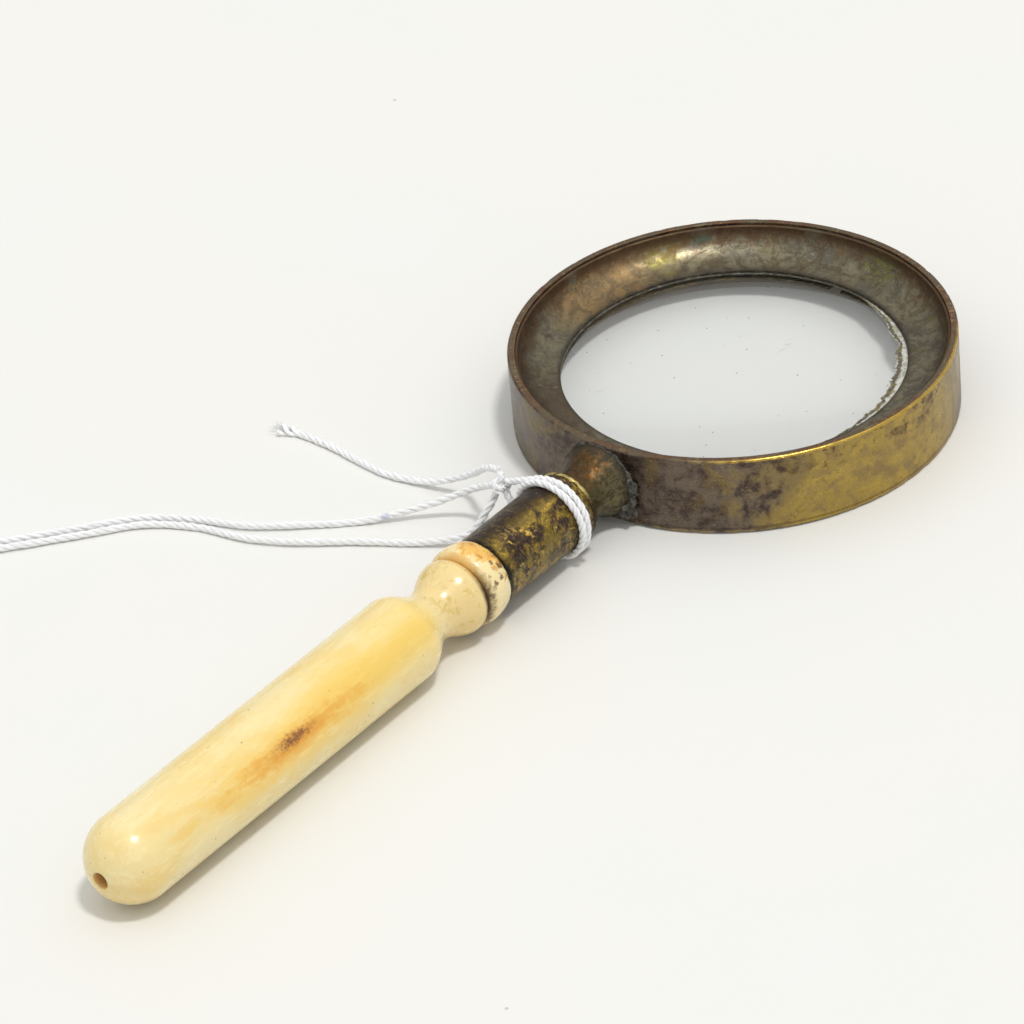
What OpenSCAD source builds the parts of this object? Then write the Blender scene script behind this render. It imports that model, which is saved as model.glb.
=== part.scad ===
// Hand magnifying glass: a brass rim dished on both faces, a screwed-on turned
// bone handle, and the cotton string tied round its ferrule.
// Millimetres. Origin: centre of the hole in the handle's butt. +X runs along the
// handle to the lens, +Z points out of the front of the rim.

/* [Rim] */
// Outside diameter of the rim
rim_d = 62; // [61:0.5:66]
// Height of the rim along the lens axis
rim_h = 11.4; // [11:0.2:12.4]
// Wall of the outer band
band_wall = 1.05; // [0.9:0.05:1.2]
// Diameter of the clear opening
view_d = 48; // [46:0.5:49]
// Drop from the band's edge to the bezel's outer edge
bezel_drop = 0.35; // [0.2:0.05:0.6]

/* [Lens] */
// Lens diameter
lens_d = 50.8; // [50.4:0.2:51.2]
// Thickness of the lens at its edge
lens_edge_t = 1.45; // [1.2:0.05:1.6]
// Radius of each lens face
lens_face_r = 360; // [320:20:500]

/* [Neck] */
// Diameter of the boss where the handle seats
boss_d = 7.5; // [7:0.1:8.4]
// Diameter of the boss where it meets the band
boss_root_d = 10.8; // [10:0.1:10.8]
// Diameter of the screwed stud
stud_d = 4.76; // [4:0.02:4.8]
// Pitch of the stud's thread
stud_pitch = 1; // [0.8:0.1:1]

/* [Handle] */
// Distance from the butt to the lens axis
reach = 132; // [125:1:140]
// Grip diameter next to the butt
butt_d = 12.1; // [11.6:0.1:12.4]
// Grip diameter at the shoulder
shoulder_d = 12.24; // [11.8:0.02:12.6]
// Diameter of the waist
waist_d = 7.3; // [7:0.1:8]
// Diameter of the flared end of the handle
flare_d = 10.66; // [10:0.02:11]
// Diameter of the bone collar
collar_d = 11.4; // [11:0.1:12]
// Outside diameter of the ferrule
ferrule_d = 10.06; // [9.8:0.02:10.4]
// Diameter of the hole in the butt
hole_d = 2.2; // [1.6:0.1:2.6]
// Depth of the hole in the butt
hole_depth = 9; // [5:1:14]

/* [String] */
// Diameter of the cotton string
string_d = 1.05; // [0.9:0.05:1.1]

/* [Hidden] */
$fn = 96;
eps = 0.02;
brass = [0.52, 0.44, 0.26];
old_brass = [0.40, 0.34, 0.24];
bone = [0.95, 0.85, 0.60];
cotton = [0.95, 0.95, 0.93];

// Rim: radii from the lens axis, heights from the middle of the rim.
rim_r = rim_d / 2;
rim_z = rim_h / 2;
bore_r = rim_r - band_wall;
view_r = view_d / 2;
lip_t = 0.5;
seat_z = 0.95;
bezel_r = bore_r - 0.02;
ring_r = bore_r - 0.05;
bezel_top = rim_z - bezel_drop;
dish_a = bezel_r - 0.4 - view_r;
dish_b = bezel_top - seat_z - lip_t;
dish_steps = 16;

// Lens: the bedding fills the gap between its front face and the front bezel.
lens_r = lens_d / 2;
bed_t = 0.3;
lens_top = seat_z - bed_t;
lens_low = lens_top - lens_edge_t;
sag = lens_face_r - sqrt(lens_face_r * lens_face_r - lens_r * lens_r);
recess_r = lens_r + 0.15;
skirt_low = lens_low + 0.05;
ring_top = lens_low - (face_z(view_r) - lens_top) - 0.03;
notch_w = 2;
notch_l = 1.3;

// Handle: stations along X from the butt.
hole_r = hole_d / 2;
butt_r = butt_d / 2;
butt_flat_r = hole_r + 0.35;
dome_x = sqrt(butt_r * butt_r - butt_flat_r * butt_flat_r);
ferrule_end = reach - 38.8;
ferrule_start = ferrule_end - 18;
collar_end = ferrule_start - 0.2;
collar_start = collar_end - 4.4;
flare_x = collar_start - 1.35;
waist_x = flare_x - 5.2;
shoulder_x = waist_x - 6.2;
flare_end = collar_start - 0.05;
tenon_r = 3.2;
tenon_end = ferrule_start + 8.8;
ferrule_r = ferrule_d / 2;
ferrule_bore = ferrule_r - 0.6;

// Neck: the seat collar lies between the ferrule and the boss.
collar_t = 0.7;
seat_start = ferrule_end + 0.05;
seat_end = seat_start + collar_t;
boss_start = seat_end + 0.05;
boss_r = boss_d / 2;
root_r = boss_root_d / 2;
root_x = reach - rim_r;
flare_from = boss_start + 2.8;
stud_r = stud_d / 2;
stud_turns = 8;
stud_start = ferrule_end - stud_turns * stud_pitch - 0.6;
stud_end = root_x - 0.4;
bush_start = stud_start - 0.3;

// String: two turns round the ferrule, drawn out to a knot behind it.
string_r = string_d / 2;
turn_r = ferrule_r + 0.02 + string_r;
turn_x = reach - 41.5;
turn_gap = string_d + 0.1;
knot_r = 1.5;
knot = [turn_x, 8.2, 2.7];
knot_dist = sqrt(knot[1] * knot[1] + knot[2] * knot[2]);
knot_angle = atan2(knot[2], knot[1]);
tangent_angle = acos(turn_r / knot_dist);
link_len = sqrt(knot_dist * knot_dist - turn_r * turn_r) - knot_r - 0.1;
end_knot = [46.2, 73.2, -4.65];
tube_sides = 8;
steps = 2;

// Routes of the loose string: out of the knot, down, and along the surface.
lead_1 = [
  [turn_x + 0.3, 9.6, 1.8], [91.6, 14.3, -1], [88.5, 20.2, -4], [82.9, 26.8, -5.5],
  [77.6, 33.7, -5.5], [73.6, 40, -5.5], [71.2, 47.4, -5.6], [67.8, 53.6, -5.6],
  [62, 59, -5.6], [56, 64.4, -5.6], [51, 69, -5.6], [47.7, 72.2, -5.2]
];
lead_2 = [
  [turn_x - 0.7, 8.8, 1.2], [88.2, 9.4, -1], [86.2, 11.4, -4.2], [82.8, 16.8, -5.5],
  [78.5, 24.6, -5.5], [74, 31.8, -5.5], [71.3, 38.2, -5.5], [70, 45.6, -5.6],
  [66.6, 52.4, -5.6], [60.8, 57.8, -5.6], [54.8, 63.2, -5.6], [49.4, 68.2, -5.6],
  [46.2, 71.4, -5.3]
];
tail = [
  [turn_x + 1.1, 9.3, 3.8], [93.2, 13, 1.9], [95.2, 17.8, -2], [94.4, 24, -4.9],
  [93.3, 30.7, -5.5], [93.8, 36.4, -5.5], [94.6, 42, -5.5], [94.9, 46.6, -5.5],
  [94.6, 51, -5.5]
];

// Height of the lens's front face at radius r, in the rim's frame.
function face_z(r) = lens_top + sag - lens_face_r + sqrt(lens_face_r * lens_face_r - r * r);

// Half cosine from a to b as u runs from 0 to 1.
function ease(a, b, u) = a + (b - a) * (1 - cos(180 * u)) / 2;

// Points of an elliptical arc about [cx, cy].
function arc(cx, cy, a, b, from, to, n) =
  [for (i = [0:n]) let (t = from + (to - from) * i / n) [cx + a * cos(t), cy + b * sin(t)]];

// Point at u along the span between b and c of a smooth curve through a, b, c, d.
function span(a, b, c, d, u) =
  (b * 2 + (c - a) * u + (a * 2 - b * 5 + c * 4 - d) * u * u
    + (b * 3 - a - c * 3 + d) * u * u * u) / 2;

// Curve through route r, with the given number of rings to each span.
function smooth(r) = let (n = len(r) - 1) concat(
  [for (i = [0:n - 1], k = [0:steps - 1])
    span(r[max(i - 1, 0)], r[i], r[i + 1], r[min(i + 2, n)], k / steps)],
  [r[n]]);

function unit(v) = v / norm(v);

// A solid turned about the handle's axis; p holds [radius, x] points.
module turned(p) {
  rotate([0, 90, 0]) rotate_extrude() polygon(p);
}

// A solid turned about the lens axis; p holds [radius, z] points.
module rimmed(p) {
  translate([reach, 0, 0]) rotate_extrude($fn = 180) polygon(p);
}

// The room taken by the band, to cut the neck's pieces to its curve.
module band_room() {
  translate([reach, 0, 0]) cylinder(r = rim_r, h = 3 * rim_h, center = true, $fn = 180);
}

// One closed tube of string along a smoothed route.
module tube(route) {
  line = smooth(route);
  n = len(line);
  rings = [for (i = [0:n - 1])
    let (
      way = unit(line[min(i + 1, n - 1)] - line[max(i - 1, 0)]),
      side = unit(cross(way, [0, 0, 1])),
      top = cross(side, way)
    )
    for (k = [0:tube_sides - 1])
      let (t = 360 * k / tube_sides)
      line[i] + string_r * (side * cos(t) + top * sin(t))];
  walls = [for (i = [0:n - 2], k = [0:tube_sides - 1])
    let (a = i * tube_sides + k, b = i * tube_sides + (k + 1) % tube_sides)
    each [[a, b, a + tube_sides], [b, b + tube_sides, a + tube_sides]]];
  first = [for (k = [0:tube_sides - 1]) tube_sides - 1 - k];
  last = [for (k = [0:tube_sides - 1]) (n - 1) * tube_sides + k];
  polyhedron(rings, concat([first], walls, [last]));
}

// Outer band of the rim, with rounded edges.
module rim_band() {
  color(brass) rimmed(concat(
    arc(rim_r - 0.35, rim_z - 0.35, 0.35, 0.35, 0, 90, 5),
    arc(bore_r + 0.25, rim_z - 0.25, 0.25, 0.25, 90, 180, 4),
    [[bore_r, -rim_z + 0.15], [bore_r + 0.15, -rim_z]],
    [[rim_r - 0.15, -rim_z], [rim_r, -rim_z + 0.15]]
  ));
}

// Dished front ring with a recess behind it for the lens.
module front_bezel() {
  color(old_brass) rimmed(concat(
    [[view_r, seat_z]],
    arc(view_r, bezel_top, dish_a, dish_b, 270, 360, dish_steps),
    [[bezel_r, bezel_top], [bezel_r, skirt_low], [recess_r, skirt_low], [recess_r, seat_z]]
  ));
}

// Dished back ring that screws in and holds the lens, with two spanner notches.
module back_bezel() {
  low_b = rim_z - bezel_drop + ring_top - lip_t;
  color(old_brass) difference() {
    rimmed(concat(
      [[view_r, ring_top]],
      arc(view_r, -bezel_top, dish_a, low_b, 90, 0, dish_steps),
      [[ring_r, -bezel_top], [ring_r, ring_top]]
    ));
    for (side = [-1, 1])
      translate([reach + side * (view_r + notch_l / 2), 0, 0])
        cube([notch_l + eps, notch_w, 3 * rim_h], center = true);
  }
}

// Double-convex lens with a ground edge.
module lens() {
  steps = 14;
  color([0.85, 0.92, 0.92, 0.4]) rimmed(concat(
    [for (i = [0 : steps]) [lens_r * i / steps, face_z(lens_r * i / steps)]],
    [for (i = [steps : -1 : 0]) [lens_r * i / steps, lens_top + lens_low - face_z(lens_r * i / steps)]]
  ));
}

// Old bedding cement between the lens and the front bezel.
module lens_bedding() {
  in_r = view_r - 0.1;
  high = seat_z - 0.01;
  color([0.86, 0.84, 0.76]) rimmed([
    [in_r, face_z(in_r) + 0.01], [lens_r + 0.01, lens_top + 0.01],
    [lens_r + 0.01, lens_top - 0.1], [lens_r + 0.1, lens_top - 0.1],
    [lens_r + 0.1, high], [in_r, high]]);
}

// Brass boss that flares into the band.
module socket_boss() {
  n = 12;
  color(old_brass) difference() {
    turned(concat(
      [[stud_r + 0.02, boss_start], [boss_r - 0.2, boss_start], [boss_r, boss_start + 0.2]],
      [for (i = [0:n]) [
        ease(boss_r, root_r, i / n), flare_from + (root_x - flare_from) * i / n]],
      [[root_r, root_x + 1.5], [stud_r + 0.02, root_x + 1.5]]
    ));
    band_room();
  }
}

// Solder run round the foot of the boss, with one lump.
module boss_solder() {
  foot = root_x - 0.8;
  color([0.42, 0.42, 0.40]) difference() {
    union() {
      turned([[boss_r, foot], [root_r, foot], [root_r + 0.25, foot + 0.9],
        [root_r + 0.25, root_x + 1.5], [boss_r, root_x + 1.5]]);
      translate([root_x - 0.1, -4.5, -3.5]) sphere(r = 1.6, $fn = 48);
    }
    turned([[0, foot - 3], [boss_r + 0.2, foot - 3], [root_r + 0.01, root_x - 0.7],
      [root_r + 0.01, root_x + 2], [0, root_x + 2]]);
    band_room();
  }
}

// Screwed stud fixed in the boss.
module screw_stud() {
  color(brass) turned([
    [0, stud_start], [stud_r - 0.4, stud_start], [stud_r, stud_start + 0.4],
    [stud_r, stud_end], [0, stud_end]]);
}

// Thin worn collar that the ferrule seats on.
module seat_collar() {
  color([0.70, 0.60, 0.28]) turned([
    [stud_r + 0.06, seat_start], [ferrule_r - 0.2, seat_start],
    [ferrule_r, seat_start + 0.2], [ferrule_r, seat_end - 0.2],
    [ferrule_r - 0.2, seat_end], [stud_r + 0.06, seat_end]]);
}

// Brass ferrule tube.
module ferrule() {
  color(old_brass) turned([
    [ferrule_bore, ferrule_start], [ferrule_r - 0.1, ferrule_start],
    [ferrule_r, ferrule_start + 0.1], [ferrule_r, ferrule_end - 0.15],
    [ferrule_r - 0.15, ferrule_end], [ferrule_bore, ferrule_end]]);
}

// Screwed bush fixed in the ring end of the ferrule.
module ferrule_bush() {
  color(brass) turned([
    [stud_r + 0.07, bush_start], [ferrule_bore - 0.03, bush_start],
    [ferrule_bore - 0.03, ferrule_end - 0.05], [stud_r + 0.3, ferrule_end - 0.05],
    [stud_r + 0.07, ferrule_end - 0.28]]);
}

// Black pitch that bonds the tenon and shows as a line at the joint.
module ferrule_pitch() {
  lip = ferrule_start - 0.03;
  color([0.06, 0.05, 0.04]) turned([
    [tenon_r + 0.03, collar_end + 0.03], [ferrule_r - 0.08, collar_end + 0.03],
    [ferrule_r - 0.08, lip], [ferrule_bore - 0.03, lip],
    [ferrule_bore - 0.03, tenon_end], [tenon_r + 0.03, tenon_end]]);
}

// Turned bone collar slipped over the tenon.
module handle_collar() {
  top_x = collar_start + 1.7;
  top_r = collar_d / 2;
  end_r = ferrule_r + 0.2;
  color(bone) turned(concat(
    [[tenon_r + 0.02, collar_start]],
    [for (i = [0:8]) let (t = 90 * i / 8) [
      top_r - (top_r - 4.6) * (1 - sin(t)), top_x - (top_x - collar_start) * cos(t)]],
    [for (i = [1:8]) let (u = i / 8) [
      top_r - (top_r - end_r) * u * u, top_x + (collar_end - top_x) * u]],
    [[tenon_r + 0.02, collar_end]]
  ));
}

// Turned bone handle with its tenon and the blind hole in the butt.
module handle() {
  n = 14;
  flare_r = flare_d / 2;
  color(bone) turned(concat(
    [[hole_r, 0]],
    [for (i = [0:n])
      let (t = asin(butt_flat_r / butt_r) + (90 - asin(butt_flat_r / butt_r)) * i / n)
      [butt_r * sin(t), dome_x - butt_r * cos(t)]],
    [for (i = [0:n])
      [ease(shoulder_d / 2, waist_d / 2, i / n), shoulder_x + (waist_x - shoulder_x) * i / n]],
    [for (i = [1:n])
      [ease(waist_d / 2, flare_r, i / n), waist_x + (flare_x - waist_x) * i / n]],
    [for (i = [1:6]) let (t = 90 * i / 6)
      [flare_r - 0.75 * (1 - cos(t)), flare_x + (flare_end - flare_x) * sin(t)]],
    [[tenon_r, flare_end], [tenon_r, tenon_end], [0, tenon_end]],
    [[0, hole_depth + 0.6], [hole_r, hole_depth]]
  ));
}

// Two turns of string round the ferrule and their ends up to the knot.
module string_turns() {
  color(cotton) for (side = [-1, 1]) translate([turn_x + side * turn_gap / 2, 0, 0]) {
    rotate([0, 90, 0]) rotate_extrude() translate([turn_r, 0]) circle(r = string_r, $fn = 48);
    rotate([knot_angle + side * tangent_angle, 0, 0]) translate([0, turn_r, 0])
      rotate([side > 0 ? 180 : 0, 0, 0]) cylinder(r = string_r - 0.02, h = link_len, $fn = 48);
  }
}

// Knot behind the ferrule.
module string_knot() {
  color(cotton) translate(knot) sphere(r = knot_r, $fn = 32);
}

module string_lead_1() {
  color(cotton) tube(lead_1);
}

module string_lead_2() {
  color(cotton) tube(lead_2);
}

module string_tail() {
  color(cotton) tube(tail);
}

// Knot that joins the two long leads.
module string_end_knot() {
  color(cotton) translate(end_knot) sphere(r = 1.45, $fn = 32);
}

rim_band();
front_bezel();
back_bezel();
lens();
lens_bedding();
socket_boss();
boss_solder();
screw_stud();
seat_collar();
ferrule();
ferrule_bush();
ferrule_pitch();
handle_collar();
handle();
string_turns();
string_knot();
string_lead_1();
string_lead_2();
string_tail();
string_end_knot();
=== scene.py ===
"""A hand magnifying glass: tarnished brass rim, screwed-on bone handle, and string on its ferrule.

Points and sizes are millimetres in the row frame until MM turns them into metres. The handle's axis
is X, with its angles measured from +Z towards -Y. The lens axis is Z at x = REACH, with its angles
measured from +X.
"""

import math
import random

import bmesh
import bpy
import numpy as np
from mathutils import Matrix, Vector, noise


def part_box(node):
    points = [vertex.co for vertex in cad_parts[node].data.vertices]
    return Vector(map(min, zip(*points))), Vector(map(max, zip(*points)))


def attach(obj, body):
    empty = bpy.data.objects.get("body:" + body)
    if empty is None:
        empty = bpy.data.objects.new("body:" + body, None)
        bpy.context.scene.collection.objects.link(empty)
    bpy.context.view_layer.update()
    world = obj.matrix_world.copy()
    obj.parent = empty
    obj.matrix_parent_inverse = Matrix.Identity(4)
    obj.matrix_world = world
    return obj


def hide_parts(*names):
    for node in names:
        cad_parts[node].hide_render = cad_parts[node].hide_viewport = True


MM = 0.001
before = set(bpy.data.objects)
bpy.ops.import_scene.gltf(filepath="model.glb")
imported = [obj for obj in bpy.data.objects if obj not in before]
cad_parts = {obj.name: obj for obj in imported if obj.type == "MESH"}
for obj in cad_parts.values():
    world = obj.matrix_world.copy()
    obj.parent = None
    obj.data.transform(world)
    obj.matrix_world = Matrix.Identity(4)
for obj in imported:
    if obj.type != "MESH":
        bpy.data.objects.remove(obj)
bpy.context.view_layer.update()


# ---------------------------------------------------------------- sizes from the frame


def low_high(node):
    """Lowest and highest corner of a CAD node, in millimetres."""
    low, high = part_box(node)
    return low / MM, high / MM


band_low, band_high = low_high("rim_band")
REACH = (band_low.x + band_high.x) / 2
RIM_R = (band_high.x - band_low.x) / 2
RIM_Z = band_high.z
BAND_WALL = 1.05
BORE_R = RIM_R - BAND_WALL
VIEW_R = 24.0
SEAT_Z = 0.95
LIP_T = 0.5

front_low, front_high = low_high("front_bezel")
BEZEL_TOP = front_high.z
BEZEL_R = front_high.x - REACH
SKIRT_LOW = front_low.z

back_low, back_high = low_high("back_bezel")
RING_LOW = back_low.z
RING_TOP = back_high.z
RING_R = back_high.x - REACH

lens_low, lens_high = low_high("lens")
LENS_R = (lens_high.x - lens_low.x) / 2
LENS_TOP = SEAT_Z - 0.3
LENS_LOW = LENS_TOP - 1.45
LENS_SAG = lens_high.z - LENS_TOP
LENS_FACE_R = (LENS_R ** 2 + LENS_SAG ** 2) / (2 * LENS_SAG)
RECESS_R = LENS_R + 0.15


def span(node):
    """Where a piece on the handle's axis starts and ends, and its largest radius."""
    low, high = low_high(node)
    return low.x, high.x, high.z


STUD_START, STUD_END, STUD_R = span("screw_stud")
SEAT_START, SEAT_END, _ = span("seat_collar")
FERRULE_START, FERRULE_END, FERRULE_R = span("ferrule")
BUSH_START, BUSH_END, _ = span("ferrule_bush")
PITCH_START, PITCH_END, _ = span("ferrule_pitch")
COLLAR_START, COLLAR_END, COLLAR_R = span("handle_collar")
BOSS_START, _, ROOT_R = span("socket_boss")
BOSS_R = 3.75
BUSH_R = FERRULE_R - 0.63
SCREW_PITCH = 1.0
ROOT_X = REACH - RIM_R

HOLE_R = 1.1
HOLE_DEPTH = 9.0
BUTT_R = 6.05
_, TENON_END, SHOULDER_R = span("handle")
WAIST_R = 3.65
FLARE_R = 5.33
TENON_R = 3.2
FLARE_END = COLLAR_START - 0.05
FLARE_X = COLLAR_START - 1.35
WAIST_X = FLARE_X - 5.2
SHOULDER_X = WAIST_X - 6.2

STRING_D = 1.05
TURN_R = FERRULE_R + 0.02 + STRING_D / 2
TURN_X = REACH - 41.5
TURN_GAP = STRING_D + 0.1
KNOT = Vector((TURN_X, 8.2, 2.7))
END_KNOT = Vector((46.2, 73.2, -4.65))

# The loose string's routes, as in the CAD part: out of the knot, down, and along the floor.
LEAD_1 = [
    (TURN_X + 0.3, 9.6, 1.8), (91.6, 14.3, -1), (88.5, 20.2, -4), (82.9, 26.8, -5.5),
    (77.6, 33.7, -5.5), (73.6, 40, -5.5), (71.2, 47.4, -5.6), (67.8, 53.6, -5.6),
    (62, 59, -5.6), (56, 64.4, -5.6), (51, 69, -5.6), (47.7, 72.2, -5.2),
]
LEAD_2 = [
    (TURN_X - 0.7, 8.8, 1.2), (88.2, 9.4, -1), (86.2, 11.4, -4.2), (82.8, 16.8, -5.5),
    (78.5, 24.6, -5.5), (74, 31.8, -5.5), (71.3, 38.2, -5.5), (70, 45.6, -5.6),
    (66.6, 52.4, -5.6), (60.8, 57.8, -5.6), (54.8, 63.2, -5.6), (49.4, 68.2, -5.6),
    (46.2, 71.4, -5.3),
]
TAIL = [
    (TURN_X + 1.1, 9.3, 3.8), (93.2, 13, 1.9), (95.2, 17.8, -2), (94.4, 24, -4.9),
    (93.3, 30.7, -5.5), (93.8, 36.4, -5.5), (94.6, 42, -5.5), (94.9, 46.6, -5.5),
    (94.6, 51, -5.5),
]


# ---------------------------------------------------------------- camera, light and floor


def add_object(name, data):
    obj = bpy.data.objects.new(name, data)
    bpy.context.scene.collection.objects.link(obj)
    return obj


def srgb(r, g, b):
    """A colour given as 0 to 255 screen values, in the linear values that nodes take."""
    return tuple(
        c / 12.92 if c <= 0.04045 else ((c + 0.055) / 1.055) ** 2.4
        for c in (r / 255, g / 255, b / 255)
    ) + (1.0,)


def add_camera():
    """A long lens, looking down along the glass from its handle's side."""
    azimuth, elevation, roll = (math.radians(a) for a in (-48.97, 34.14, -5.75))
    distance, across, along = 689.15, -30.64, -19.49
    back = Vector((
        math.sin(azimuth) * math.cos(elevation),
        -math.cos(azimuth) * math.cos(elevation),
        math.sin(elevation),
    ))
    level = Vector((math.cos(azimuth), math.sin(azimuth), 0))
    rise = back.cross(level)
    right = level * math.cos(roll) + rise * math.sin(roll)
    up = rise * math.cos(roll) - level * math.sin(roll)
    data = bpy.data.cameras.new("camera")
    data.lens = 175.8
    data.sensor_width = 36
    data.clip_start, data.clip_end = 0.01, 20
    camera = add_object("camera", data)
    place = Vector((REACH, 0, 0)) + back * distance + right * across + up * along
    turn = Matrix((right, up, back)).transposed().to_4x4()
    camera.matrix_world = Matrix.Translation(place * MM) @ turn
    bpy.context.scene.camera = camera


def add_world():
    """Soft white room light, brighter overhead than at the horizon."""
    world = bpy.data.worlds.new("room")
    bpy.context.scene.world = world
    world.use_nodes = True
    tree = world.node_tree
    tree.nodes.clear()
    where = tree.nodes.new("ShaderNodeTexCoord")
    split = tree.nodes.new("ShaderNodeSeparateXYZ")
    height = tree.nodes.new("ShaderNodeMapRange")
    height.inputs["From Min"].default_value = -0.1
    height.inputs["From Max"].default_value = 0.95
    height.inputs["To Min"].default_value = 0.3
    height.inputs["To Max"].default_value = 0.97
    sky = tree.nodes.new("ShaderNodeBackground")
    sky.inputs["Color"].default_value = (0.985, 0.995, 1.0, 1)
    out = tree.nodes.new("ShaderNodeOutputWorld")
    tree.links.new(where.outputs["Generated"], split.inputs[0])
    tree.links.new(split.outputs["Z"], height.inputs["Value"])
    tree.links.new(height.outputs["Result"], sky.inputs["Strength"])
    tree.links.new(sky.outputs[0], out.inputs["Surface"])


def add_lamp(name, azimuth, elevation, energy, spread, colour=(1, 1, 1)):
    """Even light from one direction; azimuth is measured from +X, and spread is its width in degrees."""
    data = bpy.data.lights.new(name, "SUN")
    data.energy = energy
    data.angle = math.radians(spread)
    data.color = colour
    lamp = add_object(name, data)
    a, e = math.radians(azimuth), math.radians(elevation)
    towards = Vector((math.cos(a) * math.cos(e), math.sin(a) * math.cos(e), math.sin(e)))
    lamp.rotation_mode = "QUATERNION"
    lamp.rotation_quaternion = towards.to_track_quat("Z", "Y")
    lamp.location = towards * 2


# ---------------------------------------------------------------- material nodes


class Value:
    """A number that varies over a surface: a node's output, on which arithmetic adds more nodes."""

    def __init__(self, nodes, socket):
        self.nodes, self.socket = nodes, socket

    def __add__(self, other):
        return self.nodes.math("ADD", self, other)

    def __sub__(self, other):
        return self.nodes.math("SUBTRACT", self, other)

    def __rsub__(self, other):
        return self.nodes.math("SUBTRACT", other, self)

    def __mul__(self, other):
        return self.nodes.math("MULTIPLY", self, other)

    def __abs__(self):
        return self.nodes.math("ABSOLUTE", self)


class Nodes:
    """One material's node tree, with short calls that each add a node and return its output.

    A tone is a colour as 0 to 255 screen values, or the output of a node.
    """

    def __init__(self, name):
        self.material = bpy.data.materials.new(name)
        self.material.use_nodes = True
        self.tree = self.material.node_tree
        self.tree.nodes.clear()
        self.colour = None
        where = self.add("ShaderNodeTexCoord").outputs["Object"]
        self.place = self.vector("SCALE", where, scale=1 / MM)
        self.x, self.y, self.z = self.split(self.place)

    def add(self, kind, **settings):
        made = self.tree.nodes.new(kind)
        for key, value in settings.items():
            setattr(made, key, value)
        return made

    def feed(self, socket, value):
        if isinstance(value, Value):
            value = value.socket
        if isinstance(value, bpy.types.NodeSocket):
            self.tree.links.new(value, socket)
        else:
            socket.default_value = value

    def vector(self, operation, a, b=None, scale=None):
        made = self.add("ShaderNodeVectorMath", operation=operation)
        self.feed(made.inputs[0], a)
        if b is not None:
            self.feed(made.inputs[1], b)
        if scale is not None:
            self.feed(made.inputs["Scale"], scale)
        return made.outputs["Vector"]

    def distance(self, a, b):
        made = self.add("ShaderNodeVectorMath", operation="DISTANCE")
        self.feed(made.inputs[0], a)
        self.feed(made.inputs[1], b)
        return Value(self, made.outputs["Value"])

    def split(self, vector):
        made = self.add("ShaderNodeSeparateXYZ")
        self.feed(made.inputs[0], vector)
        return [Value(self, output) for output in made.outputs]

    def join(self, x, y, z):
        made = self.add("ShaderNodeCombineXYZ")
        for socket, value in zip(made.inputs, (x, y, z)):
            self.feed(socket, value)
        return made.outputs[0]

    def math(self, operation, a, b=0.0):
        made = self.add("ShaderNodeMath", operation=operation)
        for socket, value in zip(made.inputs, (a, b)):
            self.feed(socket, value)
        return Value(self, made.outputs[0])

    def most(self, a, b):
        return self.math("MAXIMUM", a, b)

    def ramp(self, value, start, end, low=0.0, high=1.0):
        """Goes smoothly from low to high as value goes from start to end."""
        made = self.add("ShaderNodeMapRange", interpolation_type="SMOOTHSTEP")
        backwards = start > end
        for key, number in zip(
            ("Value", "From Min", "From Max", "To Min", "To Max"),
            (value, end, start, high, low) if backwards else (value, start, end, low, high),
        ):
            self.feed(made.inputs[key], number)
        return Value(self, made.outputs["Result"])

    def between(self, value, low, high, soft):
        """1 from low to high, and 0 outside, with soft edges."""
        return self.ramp(value, low - soft, low + soft) * self.ramp(value, high + soft, high - soft)

    def texture(self, kind, at=None, **numbers):
        """A texture at a place, by default the surface's own, in millimetres."""
        made = self.add(kind)
        self.feed(made.inputs["Vector"], self.place if at is None else at)
        for key, number in numbers.items():
            made.inputs[key].default_value = number
        return made

    def noise(self, scale, detail=5.0, rough=0.55, at=None, warp=0.0):
        made = self.texture(
            "ShaderNodeTexNoise", at, Scale=scale, Detail=detail, Roughness=rough, Distortion=warp
        )
        return Value(self, made.outputs[0])

    def cells(self, scale, at=None):
        """Distance to the nearest of many scattered points."""
        return Value(self, self.texture("ShaderNodeTexVoronoi", at, Scale=scale).outputs["Distance"])

    def shifted(self, amount, scale=1.0):
        """The place, pushed about by noise, so that an edge drawn with it is ragged."""
        noise = self.texture("ShaderNodeTexNoise", Scale=scale, Detail=5).outputs[1]
        push = self.vector("SUBTRACT", noise, (0.5, 0.5, 0.5))
        return self.vector("ADD", self.place, self.vector("SCALE", push, scale=2 * amount))

    def patch(self, centre, size, ragged=0.6, scale=1.0):
        """1 at a ragged patch about centre, falling to 0 at its size."""
        return self.ramp(self.distance(self.shifted(ragged, scale), centre), size, size * 0.35)

    def mix(self, amount, *tones):
        made = self.add("ShaderNodeMix", data_type="RGBA")
        self.feed(made.inputs["Factor"], amount)
        for socket, tone in zip(made.inputs[6:8], tones):
            self.feed(socket, srgb(*tone) if isinstance(tone, tuple) else tone)
        return made.outputs[2]

    def paint(self, amount, tone):
        """Lays a tone over the material's colour."""
        self.colour = self.mix(amount, self.colour, tone)

    def shade(self, value):
        """Multiplies the brightness of the material's colour."""
        made = self.add("ShaderNodeHueSaturation")
        self.feed(made.inputs["Color"], self.colour)
        self.feed(made.inputs["Value"], value)
        self.colour = made.outputs[0]

    def bump(self, height, depth, strength):
        """A normal from a height that spans depth millimetres."""
        made = self.add("ShaderNodeBump")
        made.inputs["Strength"].default_value = strength
        made.inputs["Distance"].default_value = depth * MM
        self.feed(made.inputs["Height"], height)
        return made.outputs[0]

    def about_lens(self):
        """Radius from the lens axis and distance round it, in millimetres."""
        x = self.x - REACH
        radius = self.math("SQRT", x * x + self.y * self.y)
        return radius, self.math("ARCTAN2", self.y, x) * RIM_R

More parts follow.
